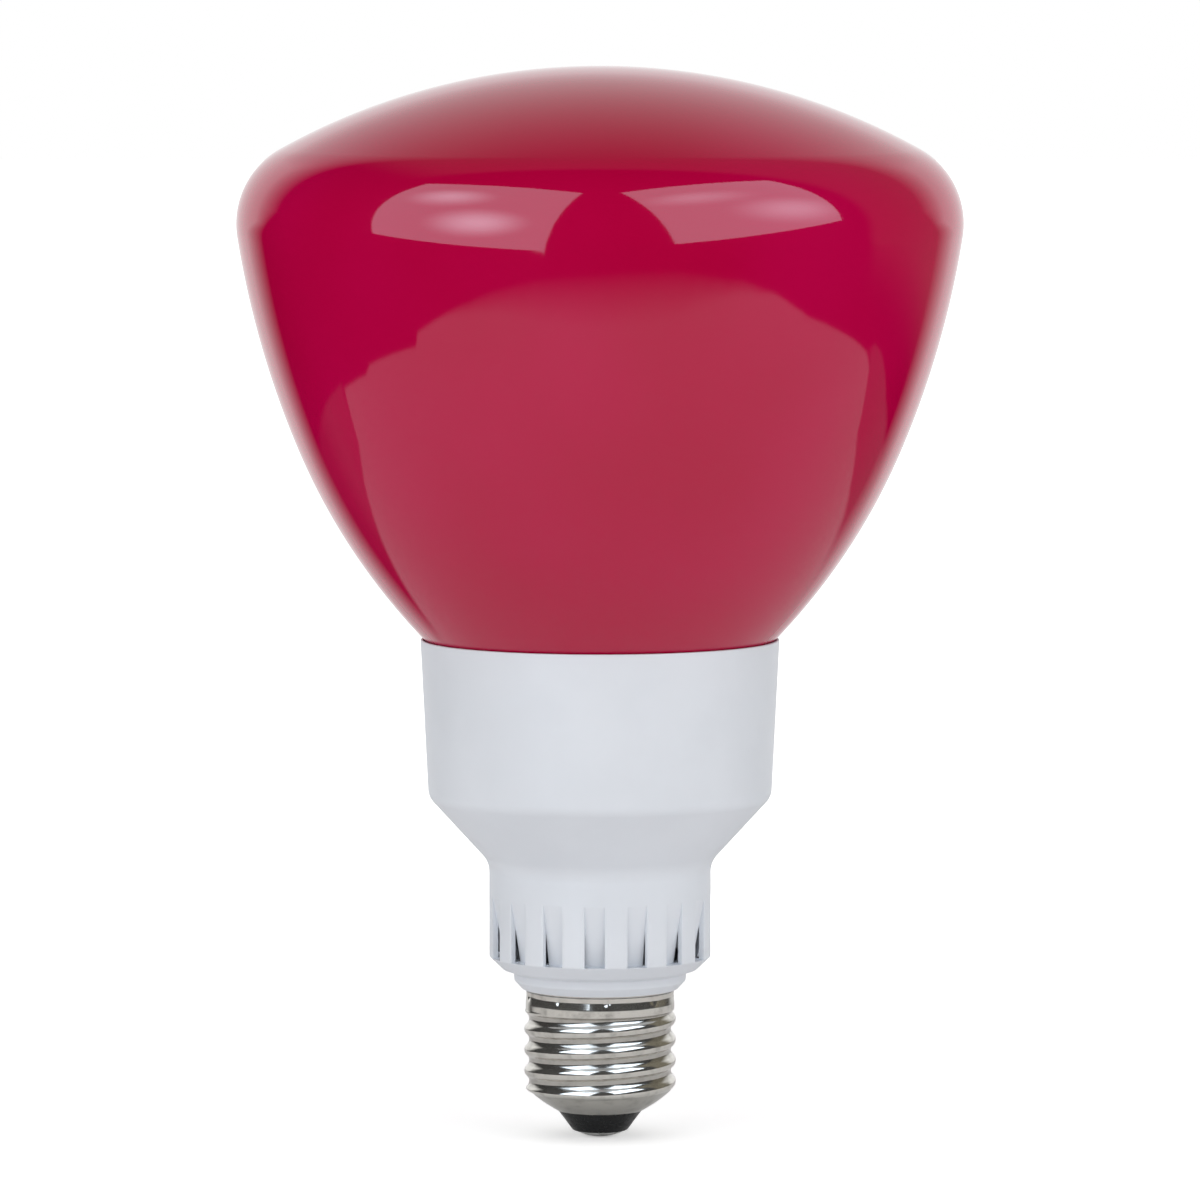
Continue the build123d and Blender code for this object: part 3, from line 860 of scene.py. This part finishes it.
innerFinishes = {
    # slot: pale colour, dark colour, grain per metre, roughness, relief depth, metallic
    "cement": ((0.66, 0.63, 0.56), (0.48, 0.45, 0.39), 700.0, 0.85, 0.10 * mm, 0.0),
    "white_tube": ((0.88, 0.88, 0.86), (0.80, 0.80, 0.78), 90.0, 0.12, 0.02 * mm, 0.0),
    "holder_plastic": ((0.72, 0.72, 0.70), (0.64, 0.64, 0.62), 2500.0, 0.45, 0.02 * mm, 0.0),
    "laminate": ((0.42, 0.27, 0.11), (0.30, 0.19, 0.07), 900.0, 0.55, 0.03 * mm, 0.0),
    "can_sleeve": ((0.030, 0.034, 0.045), (0.016, 0.018, 0.024), 500.0, 0.32, 0.02 * mm, 0.0),
    "ferrite": ((0.075, 0.072, 0.070), (0.040, 0.039, 0.038), 2600.0, 0.62, 0.05 * mm, 0.0),
    "copper_wire": ((0.62, 0.24, 0.10), (0.42, 0.14, 0.05), 1400.0, 0.28, 0.04 * mm, 1.0),
    "black_package": ((0.028, 0.028, 0.029), (0.015, 0.015, 0.016), 3000.0, 0.55, 0.02 * mm, 0.0),
    "film_dip": ((0.30, 0.055, 0.030), (0.21, 0.035, 0.020), 260.0, 0.30, 0.05 * mm, 0.0),
    "resistor_coat": ((0.40, 0.42, 0.34), (0.30, 0.32, 0.25), 600.0, 0.50, 0.04 * mm, 0.0),
    "tinned_wire": ((0.66, 0.65, 0.62), (0.50, 0.49, 0.47), 1800.0, 0.30, 0.02 * mm, 1.0),
    "black_sleeve": ((0.026, 0.026, 0.027), (0.014, 0.014, 0.015), 1200.0, 0.50, 0.02 * mm, 0.0),
    "white_sleeve": ((0.72, 0.71, 0.68), (0.60, 0.59, 0.56), 1200.0, 0.50, 0.02 * mm, 0.0),
}


def innerFinish(slot):
    pale, dark, grain, rough, depth, metal = innerFinishes[slot]
    finish = Finish(slot)
    mottle = finish.between(finish.cloud(grain, 3.0), 0.3, 0.7)
    colour = finish.mix(mottle, pale, dark)
    spread = 0.12  # of the roughness
    gloss = mottle * spread + (rough - spread / 2)
    fine = finish.cloud(2.5 * grain, 2.0)
    bumps = finish.relief(fine, depth, 0.4)
    return finish.surface(Base_Color=colour, Roughness=gloss, Metallic=metal, Normal=bumps)


made = {slot: innerFinish(slot) for slot in innerFinishes}
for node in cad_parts.values():
    for place in node.material_slots:
        slot = place.material.name.split(".")[0]
        if slot in made:
            place.material = made[slot]
print("inner pieces finished:", len(made), "materials")


# Camera, light and studio

viewSettings = {
    "distance": 1.4,
    "elevation": 4.7,
    "aimHeight": 92.95 * mm,
    "width": 206.4 * mm,
    "sensor": 36.0,
    "farthest": 20,
}
floorSettings = {
    "reach": 6.0,
    "glow": 0.42,  # close by, where the shadow is
    "near": 0.12,
    "far": 0.5,
    "grey": (0.93, 0.93, 0.93),
    "white": (0.95, 0.95, 0.95),
    "cloudScale": 6.0,
    "rough": 0.9,
}
lightSettings = {
    "ambient": 0.55,
    "height": 158.75 * mm,
    "rise": 12.0,
    "cardDistance": 0.3,
    "tint": (0.75, 0.86, 1.0),
    "lampDistance": 0.6,
    "lampSize": 0.75,
    "lampPower": 1.55,
}
roomSettings = {
    "radius": 2.2,
    "foot": 0.5 * mm,
    "darkest": 0.675,  # share of the way back at which the dark starts to lift
    "lift": 0.67,  # how much sooner it lifts overhead
    "soonest": 0.45,
    "lightest": 0.86,
    "later": 0.14,  # how much further back the light is full overhead
    "overhead": (0.2, 0.5),
    "side": (0.2, 0.5),  # towards the sides the dark ends in a sharper edge
    "sideStart": 0.08,
    "sideFull": 0.12,
    "sideFoot": (0.0, 0.1),
    "near": 0.75,  # share of that light on the floor close by
    "nearReach": (0.15, 0.6),
    "veil": 0.17,  # glow of the wall to the right and of the ceiling behind
    "veilBack": (0.0, 0.12),
    "veilSide": (0.2, 0.6),
    "veilReach": (0.45, 0.85),
    "veilTint": (1, 0.88, 0.6),
    "step": 6,  # degrees round the room
    "domeFoot": 2,  # degrees up
    "domeStep": 0.18,
}
tableEdge = (
    # azimuth, reach of the table, softness of its edge, reach of the floor behind it, how dark that is
    (-180, 0.2, 0.03, 0.36, 0.75),
    (-150, 0.155, 0.02, 0.36, 0.9),
    (-135, 0.15, 0.02, 0.36, 0.97),
    (-124, 0.175, 0.015, 0.35, 0.94),
    (-113, 0.205, 0.01, 0.34, 0.8),
    (-101, 0.255, 0.005, 0.33, 0.8),
    (-99, 0.321, 0.005, 0.328, 1.0),
    (-86, 0.309, 0.005, 0.315, 1.0),
    (-83, 0.319, 0.005, 0.325, 1.0),
    (-62, 0.312, 0.005, 0.318, 1.0),
    (-60.5, 0.334, 0.005, 0.34, 1.0),
    (-50, 0.352, 0.01, 0.365, 1.0),
    (-33, 0.366, 0.05, 0.41, 1.0),
    (-17, 0.363, 0.1, 0.46, 1.0),
    (0, 0.362, 0.12, 0.48, 1.0),
    (22, 0.38, 0.12, 0.48, 1.0),
    (45, 0.413, 0.04, 0.46, 1.0),
    (56, 0.41, 0.01, 0.425, 1.0),
    (70, 0.379, 0.005, 0.386, 1.0),
    (91, 0.384, 0.005, 0.39, 1.0),
    (100, 0.385, 0.005, 0.392, 1.0),
    (103.5, 0.368, 0.005, 0.412, 0.75),
    (109, 0.287, 0.01, 0.41, 0.75),
    (121, 0.255, 0.01, 0.38, 0.75),
    (135, 0.24, 0.03, 0.37, 0.75),
    (150, 0.235, 0.03, 0.36, 0.75),
    (180, 0.2, 0.03, 0.36, 0.75),
)
softBoxes = {
    # azimuth, corners across and up the box, glow, and the place, spread and glow of its hot spots
    "left": (
        -46,
        ((0.19, -0.187), (-0.131, -0.072), (-0.131, 0.268), (0.187, 0.305)),
        2.75,
        ((-0.025, 0.15), (0.09, 0.08), 7.0),
        ((0.056, 0.0), (0.1, 0.095), 8.4),
    ),
    "right": (
        50,
        ((-0.174, -0.128), (0.141, -0.007), (0.131, 0.31), (-0.2, 0.323)),
        2.95,
        ((-0.079, 0.175), (0.13, 0.07), 5.2),
        ((0.05, 0.06), (0.12, 0.09), 6.2),
    ),
}


def stageCard(name, points, faces, material, glossyOnly=False):
    # a part of the studio; with glossyOnly, mirror rays alone meet it
    mesh = bpy.data.meshes.new(name)
    mesh.from_pydata(points, [], faces)
    mesh.materials.append(material)
    card = bpy.data.objects.new(name, mesh)
    bpy.context.scene.collection.objects.link(card)
    if glossyOnly:
        for kind in ("camera", "diffuse", "transmission", "volume_scatter", "shadow"):
            setattr(card, "visible_" + kind, False)
    return card


def towards(azimuth, elevation, distance):
    # azimuth 0 is the front, positive to the right of the photograph
    turn, rise = radians(azimuth), radians(elevation)
    return Vector((sin(turn) * cos(rise), -cos(turn) * cos(rise), sin(rise))) * distance


def aimAt(thing, place, target):
    thing.location = place
    thing.rotation_euler = (target - place).to_track_quat("-Z", "Y").to_euler()


def glowing(finish, colour, strength, **sockets):
    return finish.surface(
        Base_Color=(0, 0, 0, 1),
        Specular_IOR_Level=0.0,
        Emission_Color=colour,
        Emission_Strength=strength,
        **sockets,
    )


def makeSky():
    world = bpy.data.worlds.new("studio")
    world.use_nodes = True
    bpy.context.scene.world = world
    sky = Nodes(world.node_tree)
    seen = sky.rays("Is Camera Ray", "Is Glossy Ray", "Is Transmission Ray")
    level = seen * (1 - lightSettings["ambient"]) + lightSettings["ambient"]
    sky.feed(world.node_tree.nodes["Background"], {"Color": (1, 1, 1, 1), "Strength": level})


def makeFloor():
    size = floorSettings
    finish = Finish("pale_floor")
    colour = finish.mix(finish.cloud(size["cloudScale"], 2.0), size["grey"], size["white"])
    away = finish.between(finish.reach(), size["near"], size["far"])
    glow = (away * (1 - size["glow"]) + size["glow"]) * finish.rays("Is Camera Ray")
    finish.surface(
        Base_Color=colour,
        Roughness=size["rough"],
        Specular_IOR_Level=0.0,
        Emission_Color=finish.mix(glow, (0, 0, 0), (1, 1, 1)),
        Emission_Strength=1.0,
    )
    wide = size["reach"]
    corners = [(-wide, -wide, 0), (wide, -wide, 0), (wide, wide, 0), (-wide, wide, 0)]
    stageCard("studio_floor", corners, [(0, 1, 2, 3)], finish.material)


def roomFinish():
    # dark in front, lit behind, with a dim wall to the right
    size = roomSettings
    finish = Finish("dark_room")
    way = finish.vector("NORMALIZE", finish.spot)
    right, back, up = (finish.node("SeparateXYZ", {}, {0: way}, axis) for axis in "XYZ")
    side = finish.between(right.math("ABSOLUTE", right), *size["side"])
    soonest = side * size["sideStart"] + size["soonest"]
    start = back.math("MAXIMUM", size["darkest"] - up * size["lift"], soonest)
    full = finish.between(up, *size["overhead"]) * (1 - side) * size["later"] + size["lightest"]
    full = full - side * finish.between(up, *size["sideFoot"]) * size["sideFull"]
    near = finish.between(finish.reach(), *size["nearReach"]) * (1 - size["near"]) + size["near"]
    light = finish.between(back, start, full, "LINEAR") * near
    veil = finish.between(back, *size["veilBack"]) * finish.between(right + up, *size["veilSide"])
    veil = veil * finish.between(finish.reach(), *size["veilReach"]) * size["veil"]
    dim = finish.mix(veil, (0, 0, 0), size["veilTint"])
    cover = finish.node("Attribute", {"attribute_name": "cover"}, {}, "Fac")
    return glowing(finish, finish.mix(light, dim, (1, 1, 1)), 1.0, Alpha=cover)


def tableAt(azimuth):
    # the numbers of tableEdge, worked out between its rows
    for before, after in reversed(list(zip(tableEdge, tableEdge[1:]))):
        if before[0] <= azimuth:
            share = (azimuth - before[0]) / (after[0] - before[0])
            return [low + (high - low) * share for low, high in zip(before[1:], after[1:])]


def makeRoom():
    # the room that the glass and the metal mirror, and no other ray meets: it leaves the table open
    size = roomSettings
    foot = size["foot"]
    dome = arcPoints((0, foot), size["radius"], size["domeFoot"], 90, size["domeStep"])
    azimuths = {edge[0] for edge in tableEdge[1:]}
    azimuths.update(range(-180 + size["step"], 180, size["step"]))
    columns, covers = [], []
    for azimuth in sorted(azimuths):
        table, soft, floor, shade = tableAt(azimuth)
        radii = (table / 2, table - soft / 2, table + soft / 2, floor, floor + soft, size["radius"])
        path = [(radius, foot) for radius in radii] + dome
        columns.append([(*towards(azimuth, 0, radius).xy, z) for radius, z in path])
        covers.append([0.0, 0.0, shade, shade] + [1.0] * (len(path) - 4))
    rows = list(zip(*columns))
    card = stageCard("dark_room", flat(rows), ringGrid(rows, False), roomFinish(), True)
    cover = card.data.attributes.new("cover", "FLOAT", "POINT")
    cover.data.foreach_set("value", flat(zip(*covers)))


def makeSoftBox(name, azimuth, corners, glow, *hotSpots):
    # a card to be mirrored, and a lamp behind it for the light
    size = lightSettings
    finish = Finish(name + "_softbox")
    brightest = max(spot[2] for spot in hotSpots)
    level = tuple(share * glow / brightest for share in size["tint"])
    for place, spread, hotGlow in hotSpots:
        away = finish.reach((*place, 0), (1 / spread[0], 1 / spread[1], 0))
        hot = tuple(share * hotGlow / brightest for share in size["tint"])
        level = finish.mix(1 - finish.between(away, 0, 1), level, hot)
    points = [(across, up, 0) for across, up in corners]
    card = stageCard(name + "_softbox", points, [(0, 1, 2, 3)], glowing(finish, level, brightest), True)
    lamp = bpy.data.lights.new(name + "_lamp", "AREA")
    lamp.energy = size["lampPower"]
    lamp.size = size["lampSize"]
    holder = bpy.data.objects.new(name + "_lamp", lamp)
    holder.visible_camera = False
    holder.visible_glossy = False
    bpy.context.scene.collection.objects.link(holder)
    target = Vector((0, 0, size["height"]))
    for thing, distance in ((card, size["cardDistance"]), (holder, size["lampDistance"])):
        aimAt(thing, target + towards(azimuth, size["rise"], distance), target)


def makeCamera():
    size = viewSettings
    aim = Vector((0, 0, size["aimHeight"]))
    lens = bpy.data.cameras.new("camera")
    lens.sensor_width = size["sensor"]
    lens.lens = size["sensor"] * size["distance"] / size["width"]
    lens.clip_end = size["farthest"]
    camera = bpy.data.objects.new("camera", lens)
    aimAt(camera, aim + towards(0, size["elevation"], size["distance"]), aim)
    bpy.context.scene.collection.objects.link(camera)
    bpy.context.scene.camera = camera


makeSky()
makeFloor()
makeRoom()
for name, box in softBoxes.items():
    makeSoftBox(name, *box)
makeCamera()
bpy.context.scene.view_settings.view_transform = "Standard"
print("studio ready")
